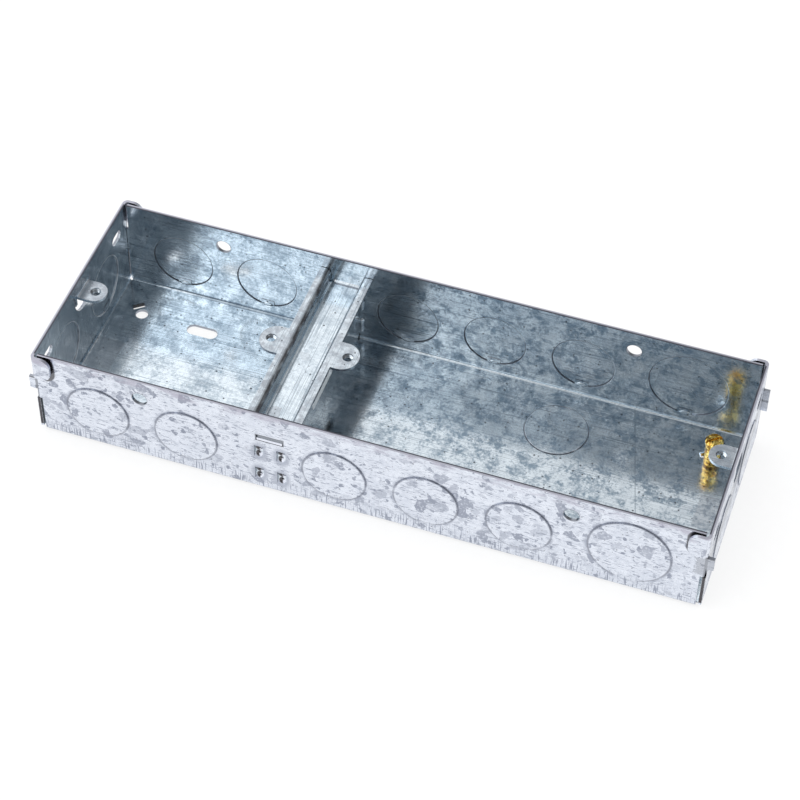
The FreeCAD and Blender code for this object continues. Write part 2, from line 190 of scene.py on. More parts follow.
# Fresh zinc: a stain is given by the level of its noise where it sets in, the level where it is full and
# the shares there, if they are not 0 and 1; a tear is given by the size of its noise and its reach.
NOISE_MIDDLE = 0.5
CLOUD = 4.2
GRAIN = 1.1
GRAIN_SHARE = 0.5
GRAIN_LEAST = 0.6
GRAIN_HEIGHT = 0.014
SPANGLE = 4.0
SPANGLE_TEAR = (2.0, 3.0)
SPANGLE_WEIGHT = 0.35
BRUSH_LINE = (26, 0.34, 0.34)
BRUSH_STAIN = (0.50, 0.74, 0.0, 0.65)
BRUSH_HEIGHT = 0.003
SCORE_LINE = (45, 0.45, 0.45)
SCORE_STAIN = (0.65, 0.72, 0.0, 0.75)
PIT_CELL = 1.7
PIT_TEAR = (0.6, 0.5)
PIT_FEW = (0.76, 0.78)
PIT_SIZE = (0.22, 0.12)
BLOTCH = 4.0
BLOTCH_STAIN = (0.56, 0.36)
BLOTCH_DARK = 2.2
WAVE = 26.0
WAVE_HEIGHT = 0.10
ZINC_ROUGH = (0.0, 1.0, 0.26, 0.15)


def zinc_coat(tree, place, rolled, cloudy, grainy, bright, dull):
    """A fresh coat: colour, roughness, height in mm and metal share; rolled has the lines along its X."""
    cloud = lumps(tree, place, CLOUD, detail=5.0, crisp=0.64)
    grain = lumps(tree, place, GRAIN, detail=2.0, shift=31.0, crisp=0.7)
    spangle, _, _ = flakes(tree, torn(tree, place, *SPANGLE_TEAR), SPANGLE)
    mottle = bright
    for noise, weight in ((cloud, cloudy), (grain, grainy), (spangle, SPANGLE_WEIGHT)):
        swing = figure(tree, "SUBTRACT", noise, NOISE_MIDDLE)
        mottle = figure(tree, "MULTIPLY_ADD", swing, weight, mottle)
    mottle = figure(tree, "MINIMUM", figure(tree, "MAXIMUM", mottle, 0.0), 1.0)
    coat = SimpleNamespace(colour=stain(tree, DEEP_ZINC, mottle, PALE_AND_HIGHLIGHT_ZINC))
    coat.rough = ramp(tree, mottle, *ZINC_ROUGH)
    brushed = lumps(tree, rolled, BRUSH_LINE, detail=2.0)
    mark(tree, coat, ramp(tree, brushed, *BRUSH_STAIN), LINE_AND_SHADE_ZINC)
    scored = lumps(tree, rolled, SCORE_LINE, detail=1.0, shift=57.0)
    mark(tree, coat, ramp(tree, scored, *SCORE_STAIN), LINE_AND_SHADE_ZINC)
    kind, _, middle = flakes(tree, torn(tree, place, *PIT_TEAR), PIT_CELL, shift=11.0)
    mark(tree, coat, product(tree, ramp(tree, kind, *PIT_FEW), ramp(tree, middle, *PIT_SIZE)), PIT)
    blotch = lumps(tree, place, BLOTCH, detail=4.0, shift=13.0, crisp=0.66)
    blotch = product(tree, ramp(tree, blotch, *BLOTCH_STAIN), dull)
    mark(tree, coat, product(tree, blotch, BLOTCH_DARK), LINE_AND_SHADE_ZINC)
    coat.share = figure(tree, "SUBTRACT", 1.0, blotch)
    coat.height = product(tree, lumps(tree, place, WAVE, detail=0.0, shift=7.0), WAVE_HEIGHT)
    emboss(tree, coat, grain, GRAIN_HEIGHT)
    emboss(tree, coat, brushed, BRUSH_HEIGHT)
    return coat


def zinc_finish(metal, coat):
    """Hand the coat to the metal's own shader."""
    tree = metal.node_tree
    skin = tree.nodes["Principled BSDF"]
    relief = node(tree, "Bump", {"Strength": 1.0, "Distance": MM, "Height": coat.height})
    tree.links.new(coat.colour, skin.inputs["Base Color"])
    tree.links.new(coat.share, skin.inputs["Metallic"])
    tree.links.new(coat.rough, skin.inputs["Roughness"])
    tree.links.new(relief.outputs[0], skin.inputs["Normal"])


# Places on the box: along and across it, out of the middle of its sheet, and from the nearest dimple.
# The sheet is cut where a face looks along it.
SIDE_SOFT = 0.1
INSIDE = (0.6, 0.4)
NEAR_END = (END_WALL - 0.6, END_WALL - 0.4)
DIMPLE_COLUMN = 3.7
DIMPLE_ROWS = (7.3, 17.5)
RUB_TEAR = (1.2, 0.9)
EDGE_ON = (0.6, 0.4)
CUT_INSET = 0.03
CUT_SOFT = 0.05
CUT_WALL = (2.5, RIM - 0.4)
CUT_FLOOR_WIDE = (LONG_WALL - 1.5, LONG_WALL - 1.6)
CUT_FLOOR_LONG = (END_WALL - 1.5, END_WALL - 1.6)


def box_places(tree):
    """Where a point of the box lies, how far it is out of the sheet's middle, and which side it is on."""
    at = SimpleNamespace(place=millimetres(tree))
    at.x, at.y, at.z = parts(tree, at.place)
    at.along = figure(tree, "ABSOLUTE", at.x)
    at.across = figure(tree, "ABSOLUTE", at.y)
    proud = figure(tree, "SUBTRACT", at.across, LONG_WALL + SHEET / 2)
    proud = figure(tree, "MAXIMUM", proud, figure(tree, "SUBTRACT", at.along, END_WALL + SHEET / 2))
    at.proud = figure(tree, "MAXIMUM", proud, figure(tree, "SUBTRACT", SHEET / 2, at.z))
    at.outside = ramp(tree, at.proud, -SIDE_SOFT, SIDE_SOFT)
    at.inside = ramp(tree, at.outside, *INSIDE)
    at.on_end = ramp(tree, at.along, *NEAR_END)
    low, high = DIMPLE_ROWS
    at.aside = nearer(tree, at.x, BRIDGE_MIDDLE, DIMPLE_COLUMN)
    at.above = nearer(tree, at.z, (low + high) / 2, (high - low) / 2)
    at.ragged = torn(tree, at.place, *RUB_TEAR)
    at.cut = cut_edges(tree, at)
    return at


def cut_edges(tree, at):
    """1 on the cut edges of the sheet, in the walls below the rim and inside the floor."""
    face_x, face_y, face_z = parts(tree, facing(tree))
    in_wall = between(tree, at.z, *CUT_WALL, SHARP)
    in_floor = product(tree, ramp(tree, at.across, *CUT_FLOOR_WIDE), ramp(tree, at.along, *CUT_FLOOR_LONG))
    cut = 0.0
    for face, depth, inner, where in ((face_y, at.across, LONG_WALL, in_wall),
                                      (face_x, at.along, END_WALL, in_wall),
                                      (face_z, at.z, 0.0, in_floor)):
        edge = ramp(tree, figure(tree, "ABSOLUTE", face), *EDGE_ON)
        core = between(tree, depth, inner + CUT_INSET, inner + SHEET - CUT_INSET, CUT_SOFT)
        cut = figure(tree, "MAXIMUM", product(tree, edge, core, where), cut)
    return cut


# Outside: wiped dull and even by handling, without the blotches of the inside, and with fine dark specks
# stuck to it.
WIPED_SHARE = 0.68
WIPED_ROUGH = 0.10
SPECK = 1.3
SPECK_FEW = (0.80, 0.82)
SPECK_SIZE = (0.24, 0.14, 0.0, 0.8)


def wiped_outside(tree, at, coat):
    coat.share = figure(tree, "MAXIMUM", coat.share, at.outside)
    mark(tree, coat, product(tree, at.outside, WIPED_SHARE), WIPED_AND_HIGHLIGHT_ZINC)
    roughen(tree, coat, at.outside, WIPED_ROUGH)
    kind, _, middle = flakes(tree, at.ragged, SPECK, shift=37.0)
    specks = product(tree, ramp(tree, kind, *SPECK_FEW), ramp(tree, middle, *SPECK_SIZE), at.outside)
    mark(tree, coat, specks, CUT_AND_SHADE_ZINC)


# Rub marks: patches and flecks lie in crowds, few of them inside; outside there are also strokes at the
# foot, short ticks, and a dull grey ring round each dimple, partly rubbed zinc and partly painted shade of
# the shallow dish pressed there.
CROWD = 14.0
CROWD_MORE = (0.35, 0.65, -0.08, 0.08)
PATCH = {"size": 3.4, "shift": 3.0, "few": (0.88, 0.90), "strong": (0.0, 1.0, 0.25, 0.95)}
FLECK = {"size": 1.5, "shift": 19.0, "few": (0.87, 0.89), "strong": (0.0, 1.0, 0.2, 1.0)}
BROKEN = 0.8
BROKEN_STAIN = (0.32, 0.50, 0.3, 1.0)
RUB_INSIDE = (0.0, 1.0, 0.10, 1.0)
STROKE = (0.45, 0.45, 6.0)
STROKE_STAIN = (0.54, 0.62)
STROKE_RISE = (9.0, 3.0, 0.0, 0.95)
TICK = (2.2, 2.2, 0.3)
TICK_STAIN = (0.60, 0.66)
RING_SQUASH = 0.68
RING_STAIN = (3.6, 2.0, 0.0, 0.6)
RUB_ROUGH = 0.16


def rubs_and_dish_shade(tree, at, coat):
    crowd = ramp(tree, lumps(tree, at.place, CROWD, shift=83.0), *CROWD_MORE)
    rubbed = 0.0
    for cell in (PATCH, FLECK):
        kind, strength, _ = flakes(tree, at.ragged, cell["size"], cell["shift"])
        chosen = ramp(tree, figure(tree, "ADD", kind, crowd), *cell["few"])
        chosen = product(tree, chosen, ramp(tree, strength, *cell["strong"]))
        rubbed = figure(tree, "MAXIMUM", chosen, rubbed)
    broken = ramp(tree, lumps(tree, at.place, BROKEN), *BROKEN_STAIN)
    rubbed = product(tree, rubbed, broken, ramp(tree, at.outside, *RUB_INSIDE))
    strokes = ramp(tree, lumps(tree, at.place, STROKE, detail=2.0, shift=43.0), *STROKE_STAIN)
    strokes = product(tree, strokes, ramp(tree, at.z, *STROKE_RISE))
    ticks = ramp(tree, lumps(tree, at.place, TICK, detail=2.0, shift=61.0), *TICK_STAIN)
    # The ring round each dimple is partly rubbed zinc and partly painted shade of the shallow dish.
    ring = apart(tree, spot(tree, at.aside, 0.0, product(tree, at.above, RING_SQUASH)))
    for marks in (strokes, ticks, ramp(tree, ring, *RING_STAIN)):
        rubbed = figure(tree, "MAXIMUM", rubbed, product(tree, marks, at.outside))
    mark(tree, coat, rubbed, RUBBED_AND_SHADE_ZINC)
    roughen(tree, coat, rubbed, RUB_ROUGH)


# Dimples: each is a pair of bowls pressed in from outside, one over the other, with a painted highlight
# over each bowl and painted shade in its left half.
BOWL_APART = 2.3
BOWL_RADIUS = 1.2
BOWL_DEPTH = 0.35
BOWL_SIDE = (-0.4, -0.3)
BOWL_EDGE = (BOWL_RADIUS + 0.1, BOWL_RADIUS - 0.2)
BOWL_HIGHLIGHT = 0.8
BOWL_SHADE_GRAIN = 0.7
BOWL_SHADE_RAGGED = 1.2
BOWL_SHADE_HALF = (0.45, -0.05, 0.0, 0.95)


def dimple_bowls(tree, at, coat):
    rise = nearer(tree, at.above, 0.0, BOWL_APART / 2)
    reach = apart(tree, spot(tree, at.aside, 0.0, rise))
    pressed = ramp(tree, at.proud, *BOWL_SIDE)
    emboss(tree, coat, product(tree, ramp(tree, reach, BOWL_RADIUS, 0.0), pressed), -BOWL_DEPTH)
    bowl = product(tree, ramp(tree, reach, *BOWL_EDGE), pressed)
    # Painted highlight over the bowl.
    mark(tree, coat, product(tree, bowl, BOWL_HIGHLIGHT), WIPED_AND_HIGHLIGHT_ZINC)
    # Painted shade in the left half of the bowl, with a ragged edge.
    ragged = figure(tree, "SUBTRACT", at.aside, BOWL_SHADE_RAGGED / 2)
    ragged = figure(tree, "MULTIPLY_ADD", lumps(tree, at.place, BOWL_SHADE_GRAIN), BOWL_SHADE_RAGGED, ragged)
    mark(tree, coat, product(tree, bowl, ramp(tree, ragged, *BOWL_SHADE_HALF)), PAINTED_SHADE_BLACK)


# Bruises: just below the rim the outside is knocked darker, in flat lumps that grow stronger towards the
# top.
BRUISE = (9.0, 9.0, 2.2)
BRUISE_STAIN = (0.44, 0.62)
BRUISE_RISE = (30.5, 34.6, 0.0, 0.75)


def rim_bruises(tree, at, coat):
    bruise = ramp(tree, lumps(tree, at.place, BRUISE, detail=4.0, shift=71.0), *BRUISE_STAIN)
    mark(tree, coat, product(tree, bruise, ramp(tree, at.z, *BRUISE_RISE), at.outside), BRUISED_ZINC)


# Knockouts: each disc, given by its middle and radius, is sheared nearly all round and held by a tag at
# its foot. The line is wide outside and thin inside, dark with dirt and painted shade in the crack, with a
# halo outside that is partly rubbed zinc and partly painted shade of the slope; on the end walls the inner
# line is a painted highlight, and so are the tags.
WALL_KNOCKOUTS = [(middle, 15.5, 10.4) for middle in (-88.05, -58.25, -9.1, 20.7, 50.5)]
WALL_KNOCKOUTS.append((85.2, 17.5, 13.0))
END_KNOCKOUTS = [(16.0, 15.5, 10.4)]
FLOOR_KNOCKOUTS = [(47.6, 17.4, 10.4)]
ON_LONG_WALL = (LONG_WALL - 0.5, LONG_WALL - 0.3, FAR_AWAY, 0.0)
ON_END_WALL = (END_WALL - 0.5, END_WALL - 0.3, FAR_AWAY, 0.0)
ON_FLOOR = (1.8, 1.6, FAR_AWAY, 0.0)
TAG_SIZE = (2.0, 0.8)
TAG_CORE = 0.6
TAG_WALL = (LONG_WALL - 0.5, LONG_WALL - 0.4)
TAG_HIGHLIGHT = 0.8
TAG_HEIGHT = 0.30
TAG_CLEAR = (4.8, 5.6, 0.1, 1.0)
FLOOR_CLEAR = (1.6, 1.4)
WORN = 3.2
SHEAR_WIDTH = (0.0, 1.0, 0.22, 0.50)
SHEAR_CORE = (1.0, 0.4)
SHEAR_STAIN = (0.30, 0.56, 0.4, 0.85)
SHEAR_INSIDE = (0.0, 1.0, 0.8, 1.0)
SHEAR_DEPTH = 0.06
SHEAR_ROUGH = 0.25
HALO_FADE = (1.5, 0.3)
HALO_START = (0.0, 0.3)
HALO_STAIN = (0.40, 0.60, 0.10, 0.65)
INNER_STAIN = (0.30, 0.56, 0.2, 0.8)
END_SHARE = (0.0, 0.8, 1.0, 0.25)


def knockout_edge(tree, at):
    """Distance in mm from the shear line of the nearest knockout, less than nothing inside the disc."""
    nearest = FAR_AWAY
    for side, off_side, discs in (
            (spot(tree, at.x, at.z, 0.0), ramp(tree, at.across, *ON_LONG_WALL), WALL_KNOCKOUTS),
            (spot(tree, at.across, at.z, 0.0), ramp(tree, at.along, *ON_END_WALL), END_KNOCKOUTS),
            (spot(tree, at.x, at.y, 0.0), ramp(tree, at.z, *ON_FLOOR), FLOOR_KNOCKOUTS)):
        for first, second, radius in discs:
            reach = figure(tree, "SUBTRACT", apart(tree, side, (first, second, 0)), radius)
            nearest = figure(tree, "MINIMUM", figure(tree, "ADD", reach, off_side), nearest)
    return nearest


def knockout_tag(tree, at):
    """1 on the tag that holds the foot of each knockout of the long walls, seen from inside."""
    half_wide, half_tall = TAG_SIZE
    stretch = half_wide / half_tall
    squashed = spot(tree, at.x, 0.0, product(tree, at.z, stretch))
    nearest = FAR_AWAY
    for middle, rise, radius in WALL_KNOCKOUTS:
        foot = (middle, 0, (rise - radius + half_tall / 2) * stretch)
        nearest = figure(tree, "MINIMUM", apart(tree, squashed, foot), nearest)
    tag = ramp(tree, nearest, half_wide, half_wide * TAG_CORE)
    return product(tree, tag, ramp(tree, at.across, *TAG_WALL), at.inside)


def knockout_lines(tree, at, coat):
    edge = knockout_edge(tree, at)
    worn = lumps(tree, at.place, WORN, detail=2.0, shift=5.0)
    width = ramp(tree, at.outside, *SHEAR_WIDTH)
    line = figure(tree, "DIVIDE", figure(tree, "ABSOLUTE", edge), width)
    clear_of_tag = figure(tree, "MAXIMUM", ramp(tree, at.z, *TAG_CLEAR), ramp(tree, at.z, *FLOOR_CLEAR))
    line = product(tree, ramp(tree, line, *SHEAR_CORE), clear_of_tag)
    # Halo outside the line: partly rubbed zinc and partly painted shade of the slope round the disc.
    halo = product(tree, ramp(tree, edge, *HALO_FADE), ramp(tree, edge, *HALO_START))
    halo = product(tree, halo, ramp(tree, worn, *HALO_STAIN))
    mark(tree, coat, product(tree, halo, at.outside), RUBBED_AND_SHADE_ZINC)
    # Dark line: dirt and painted shade in the shear crack.
    dark = product(tree, line, ramp(tree, worn, *SHEAR_STAIN), ramp(tree, at.outside, *SHEAR_INSIDE))
    mark(tree, coat, dark, SHEAR_DIRT_AND_SHADE_ZINC)
    inner = product(tree, line, at.inside, ramp(tree, worn, *INNER_STAIN))
    mark(tree, coat, inner, CUT_AND_SHADE_ZINC)
    # On the end walls the inner line is a painted highlight instead, pale and less metallic.
    on_end = product(tree, inner, at.on_end)
    mark(tree, coat, on_end, PALE_AND_HIGHLIGHT_ZINC)
    coat.share = product(tree, coat.share, ramp(tree, on_end, *END_SHARE))
    emboss(tree, coat, line, -SHEAR_DEPTH)
    roughen(tree, coat, line, SHEAR_ROUGH)
    tag = knockout_tag(tree, at)
    # The tag carries a painted highlight.
    mark(tree, coat, product(tree, tag, TAG_HIGHLIGHT), PALE_AND_HIGHLIGHT_ZINC)
    emboss(tree, coat, tag, TAG_HEIGHT)


# Folds and floor: the folds at the long walls carry a painted highlight to the right of the bridge and
# painted shade to its left, the left stop is painted black as shade, and a long scratch slants over the
# right floor.
FOLD_WALL = (LONG_WALL - 1.0, LONG_WALL - 0.8)
FOLD_TOP = (2.0, 1.8)
FOLD_HIGHLIGHT = (-35.0, -25.0, 0.0, 0.7)
FOLD_SHADE = (-25.0, -35.0, 0.0, 0.75)
FOLD_START = (-95.0, -75.0)
STOP_ALONG = (-103.0, -93.0)
STOP_ACROSS = (21.2, 26.0)
STOP_FOOT = (1.02, 1.1)
STOP_TOP = (4.0, 3.9, 0.0, 0.85)
SCRATCH_FOOT = 78.57
SCRATCH_SLANT = 0.274
SCRATCH_STAIN = (0.22, 0.08, 0.0, 0.7)
SCRATCH_START = (-8.5, -7.5)
SCRATCH_LEVEL = (1.3, 1.2)


def fold_highlight_and_shade(tree, at, coat):
    fold = product(tree, ramp(tree, at.across, *FOLD_WALL), ramp(tree, at.z, *FOLD_TOP), at.inside)
    # Painted highlight on the folds right of the bridge, painted shade on those to its left.
    mark(tree, coat, product(tree, fold, ramp(tree, at.x, *FOLD_HIGHLIGHT)), PALE_AND_HIGHLIGHT_ZINC)
    dark = product(tree, fold, ramp(tree, at.x, *FOLD_START), ramp(tree, at.x, *FOLD_SHADE))
    mark(tree, coat, dark, LINE_AND_SHADE_ZINC)


def stop_shade(tree, at, coat):
    # The left stop is painted black as shade.
    shaded_stop = product(tree, between(tree, at.x, *STOP_ALONG, SHARP), between(tree, at.y, *STOP_ACROSS, SHARP))
    shaded_stop = product(tree, shaded_stop, ramp(tree, at.z, *STOP_FOOT), ramp(tree, at.z, *STOP_TOP))
    mark(tree, coat, shaded_stop, PAINTED_SHADE_BLACK)


def floor_scratch(tree, at, coat):
    off = figure(tree, "SUBTRACT", at.x, SCRATCH_FOOT)
    off = figure(tree, "ABSOLUTE", figure(tree, "MULTIPLY_ADD", at.y, SCRATCH_SLANT, off))
    scratch = product(tree, ramp(tree, off, *SCRATCH_STAIN), ramp(tree, at.y, *SCRATCH_START))
    mark(tree, coat, product(tree, scratch, ramp(tree, at.z, *SCRATCH_LEVEL)), LINE_AND_SHADE_ZINC)


# Holes and cuts: cut edges are dark, and so are the rims of the side holes; the gap round the tab of the
# bridge in the front wall is painted shade.
CUT_DARK = 0.75
SIDE_HOLES = (-73.15, 66.5)
SIDE_HOLE_RISE = 27.35
SIDE_HOLE = 2.5
HOLE_RIM = (SIDE_HOLE + 0.4, SIDE_HOLE)
HOLE_WALL = (LONG_WALL - 0.1, LONG_WALL, 0.0, 0.7)
TAB_HALF = 4.8
TAB_RISE = (22.8, 25.8)
TAB_WALL = (-LONG_WALL + 0.5, -LONG_WALL + 0.4, 0.0, 0.9)


def dark_cuts_and_tab_shade(tree, at, coat):
    mark(tree, coat, product(tree, at.cut, CUT_DARK), CUT_AND_SHADE_ZINC)
    on_wall = ramp(tree, at.across, *HOLE_WALL)
    for middle in SIDE_HOLES:
        reach = apart(tree, spot(tree, at.x, 0.0, at.z), (middle, 0, SIDE_HOLE_RISE))
        mark(tree, coat, product(tree, ramp(tree, reach, *HOLE_RIM), on_wall), CUT_AND_SHADE_ZINC)
    # Painted shade in the gap round the tab of the bridge in the front wall.
    tab_gap_shade = between(tree, at.x, BRIDGE_MIDDLE - TAB_HALF, BRIDGE_MIDDLE + TAB_HALF, SHARP)
    tab_gap_shade = product(tree, tab_gap_shade, between(tree, at.z, *TAB_RISE, SHARP), ramp(tree, at.y, *TAB_WALL))
    mark(tree, coat, tab_gap_shade, CUT_AND_SHADE_ZINC)


# Corners: the ears lap over the long walls with a painted shadow round them, the tongues are rubbed at
# the right end, the slits at the front corners are painted black as shade, and the outside is darker
# along the foot of the walls.
EAR_TIP = 102.5
EAR_FOOT = 24.6
EAR_ROUND = 3.2
EAR_SHADOW = (EAR_ROUND + 1.0, EAR_ROUND + 0.5, 0.0, 0.85)
EAR_WALL = (LONG_WALL + 0.9, LONG_WALL + 1.1)
EAR_SOFT = 0.05
TONGUE_ROOT = (107.6, 108.0)
TONGUE_GRAIN = 0.9
TONGUE_RAGGED = 5.0
TONGUE_RISE = (15.0, 17.0)
TONGUE_TOP = (24.4, 24.3, 0.0, 0.6)
TONGUE_END = (0.0, 1.0)
SLIT_ALONG = (106.6, 106.8)
SLIT_ACROSS = (34.7, 34.8)
SLIT_TOP = (15.4, 15.2)
SLIT_FRONT = (0.0, -1.0, 0.0, 0.9)
FOOT_LINE = (1.5, 0.7, 0.0, 0.6)


def ear_shadows(tree, at, coat):
    inset_x = figure(tree, "SUBTRACT", EAR_TIP + EAR_ROUND, at.along)
    inset_z = figure(tree, "ABSOLUTE", figure(tree, "SUBTRACT", at.z, (EAR_FOOT + RIM) / 2))
    inset_z = figure(tree, "SUBTRACT", inset_z, (RIM - EAR_FOOT) / 2 - EAR_ROUND)
    inset = spot(tree, figure(tree, "MAXIMUM", inset_x, 0.0), 0.0, figure(tree, "MAXIMUM", inset_z, 0.0))
    # Painted shadow on the long wall round the lapped ear.
    contact_shadow = ramp(tree, apart(tree, inset), *EAR_SHADOW)
    mark(tree, coat, product(tree, contact_shadow, between(tree, at.across, *EAR_WALL, EAR_SOFT)), PAINTED_SHADE_BLACK)


def corner_wear_and_slit_shade(tree, at, coat):
    ragged = figure(tree, "MULTIPLY_ADD", lumps(tree, at.place, TONGUE_GRAIN), TONGUE_RAGGED, at.along)
    tongue = product(tree, ramp(tree, ragged, *TONGUE_ROOT), ramp(tree, at.x, *TONGUE_END), at.outside)
    tongue = product(tree, tongue, ramp(tree, at.z, *TONGUE_TOP), ramp(tree, at.z, *TONGUE_RISE))
    mark(tree, coat, tongue, HANDLED_ZINC)
    # The slits at the front corners are painted black as shade.
    slit = product(tree, ramp(tree, at.along, *SLIT_ALONG), ramp(tree, at.across, *SLIT_ACROSS))
    slit = product(tree, slit, ramp(tree, at.z, *SLIT_TOP), ramp(tree, at.y, *SLIT_FRONT))
    mark(tree, coat, product(tree, slit, figure(tree, "MAXIMUM", at.cut, at.inside)), PAINTED_SHADE_BLACK)
    # Darker along the foot of the outside walls.
    mark(tree, coat, product(tree, at.outside, ramp(tree, at.z, *FOOT_LINE)), RUBBED_AND_SHADE_ZINC)


# Lugs: a lug is rubbed on top, and its edges are dark as raw cut steel and with painted shade; the two at
# the ends of the box are duller than those of the bridge, with a painted highlight on their edges instead.
LUG_LEVEL = (LUG_TOP - 1.2, LUG_TOP + 1.3)
LUG_SOFT = 0.3
LUG_SMEAR = 1.6
LUG_STAIN = (0.35, 0.65, 0.2, 0.7)
LUG_EDGE = 0.9
LUG_ROUGH = 0.10
END_LUG_ROOT = (98.0, 98.5)
END_LUG_WALL = (END_WALL - 0.1, END_WALL - 0.3)
END_LUG_SIDE = (7.0, 6.5)
END_LUG_DULL = 0.4
END_LUG_HIGHLIGHT = (LUG_TOP - 1.2, LUG_TOP - 0.9, 0.0, 0.8)


def upright_face(tree):
    """1 on faces that stand upright and 0 on level ones."""
    return ramp(tree, figure(tree, "ABSOLUTE", parts(tree, facing(tree))[2]), *EDGE_ON)


def lug_wear_and_edge_shade(tree, place, z, coat):
    level = between(tree, z, *LUG_LEVEL, LUG_SOFT)
    smear = ramp(tree, lumps(tree, place, LUG_SMEAR, detail=4.0, shift=23.0), *LUG_STAIN)
    mark(tree, coat, product(tree, level, smear), HANDLED_ZINC)
    # Edges at lug height are dark as raw cut steel and with painted shade.
    mark(tree, coat, product(tree, level, upright_face(tree), LUG_EDGE), CUT_AND_SHADE_ZINC)
    roughen(tree, coat, level, LUG_ROUGH)


def end_lugs(tree, at, coat):
    dull = SimpleNamespace(colour=coat.colour, rough=coat.rough)
    lug_wear_and_edge_shade(tree, at.place, at.z, dull)
    at_lug = product(tree, ramp(tree, at.along, *END_LUG_ROOT), ramp(tree, at.along, *END_LUG_WALL))
    at_lug = product(tree, at_lug, ramp(tree, at.across, *END_LUG_SIDE))
    mark(tree, coat, at_lug, stain(tree, dull.colour, END_LUG_DULL, HANDLED_ZINC))
    roughen(tree, coat, figure(tree, "SUBTRACT", dull.rough, coat.rough), at_lug)
    # The end lugs get a painted highlight on their edges instead.
    edge = product(tree, at_lug, upright_face(tree), ramp(tree, at.z, *END_LUG_HIGHLIGHT))
    mark(tree, coat, edge, PALE_AND_HIGHLIGHT_ZINC)


# Rim: the cut edge all round has no zinc on it; it is dark towards the inside and paler at the burr
# outside.
RIM_RAW = (RIM - 0.05, RIM + 0.03)
RIM_BURR = (-0.15, 0.10)
RIM_ROUGH = 0.40


def raw_rim(tree, at, coat):
    raw = ramp(tree, at.z, *RIM_RAW)
    burr = ramp(tree, at.proud, *RIM_BURR)
    mark(tree, coat, raw, stain(tree, RIM_INSIDE, burr, RIM_OUTSIDE))
    coat.rough = figure(tree, "MAXIMUM", coat.rough, product(tree, raw, RIM_ROUGH))


# Coat of the box: its mottle grows to the right and to the back, and its blotches to the right. The marks
# are laid one over the other in this order.
BOX_BRIGHT = 0.72
CLOUDY_ALONG = (-40.0, 30.0, 2.2, 5.2)
CLOUDY_ACROSS = (-24.0, 8.0, 0.35, 1.0)
DULL_ALONG = (-45.0, -15.0, 0.03, 0.08)
BOX_MARKS = (wiped_outside, rubs_and_dish_shade, dimple_bowls, rim_bruises, knockout_lines, fold_highlight_and_shade, stop_shade,
             dark_cuts_and_tab_shade, floor_scratch, ear_shadows, corner_wear_and_slit_shade, end_lugs, raw_rim)

box_metal = bpy.data.materials.new("zinc_of_box")
box_metal.use_nodes = True
box_tree = box_metal.node_tree
box_at = box_places(box_tree)
upended = spot(box_tree, box_at.z, box_at.y, box_at.x)
box_lines = {0: box_at.on_end, 4: box_at.place, 5: upended}
box_rolled = node(box_tree, "Mix", box_lines, data_type="VECTOR").outputs[1]
box_cloudy = ramp(box_tree, box_at.x, *CLOUDY_ALONG)
box_cloudy = product(box_tree, box_cloudy, ramp(box_tree, box_at.y, *CLOUDY_ACROSS))
box_grainy = figure(box_tree, "MULTIPLY_ADD", box_cloudy, GRAIN_SHARE, GRAIN_LEAST)
box_dull = ramp(box_tree, box_at.x, *DULL_ALONG)
box_coat = zinc_coat(box_tree, box_at.place, box_rolled, box_cloudy, box_grainy, BOX_BRIGHT, box_dull)
for lay in BOX_MARKS:
    lay(box_tree, box_at, box_coat)
zinc_finish(box_metal, box_coat)
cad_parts["box_body"].material_slots[0].material = box_metal

# Dimple bumps. The pairs of bowls pressed into both long walls stand out as smooth bumps inside, where
# the ends of the divider snap over them.
BUMP_WIDE = 5.2
BUMP_TALL = 7.0
BUMP_FLAT = (1.3, 2.2)
BUMP_HEIGHT = 1.15
BUMP_ROUND = 1.15
PATCH_PROUD = 0.02
PATCH_CELL = 0.2
PATCH_THICK = 0.25
PATCH_SMOOTH = 50


def wall_patch(name, wide, tall, y, turn):
    """Start a finely divided patch that stands on a long wall at the left low dimple."""
    bpy.ops.object.select_all(action="DESELECT")
    place = ((BRIDGE_MIDDLE - DIMPLE_COLUMN) * MM, y * MM, DIMPLE_ROWS[0] * MM)
    bpy.ops.mesh.primitive_grid_add(x_subdivisions=round(wide / PATCH_CELL),
                                    y_subdivisions=round(tall / PATCH_CELL),
                                    size=1, location=place, rotation=(turn, 0, 0))
    patch = bpy.context.object
    patch.name = name
    patch.scale = (wide * MM, tall * MM, 1)
    bpy.ops.object.transform_apply(location=True, rotation=True, scale=True)
    return patch


def press(patch, middle_z, flat, push, spread):
    """Push the patch in along Y where it lies within flat of its middle, fading out over spread."""
    bpy.ops.object.mode_set(mode="EDIT")
    bpy.ops.mesh.select_mode(type="VERT")
    bpy.ops.mesh.select_all(action="DESELECT")
    bpy.ops.object.mode_set(mode="OBJECT")
    middle_x = BRIDGE_MIDDLE - DIMPLE_COLUMN
    for vertex in patch.data.vertices:
        aside = abs(vertex.co.x / MM - middle_x)
        above = abs(vertex.co.z / MM - middle_z)
        vertex.select = aside <= flat[0] and above <= flat[1]
    bpy.ops.object.mode_set(mode="EDIT")
    bpy.ops.transform.translate(value=(0, push * MM, 0), use_proportional_edit=True,
                                proportional_edit_falloff="SPHERE", proportional_size=spread * MM)
    bpy.ops.object.mode_set(mode="OBJECT")


def finish_patch(patch):
    """Give the patch the thickness of its own skin and a smooth face."""
    skin = patch.modifiers.new("skin", "SOLIDIFY")
    skin.thickness = PATCH_THICK * MM
    skin.offset = -1.0
    bpy.ops.object.modifier_apply(modifier=skin.name)
    bpy.ops.object.shade_smooth_by_angle(angle=radians(PATCH_SMOOTH))
    patch.data.materials.append(box_metal)


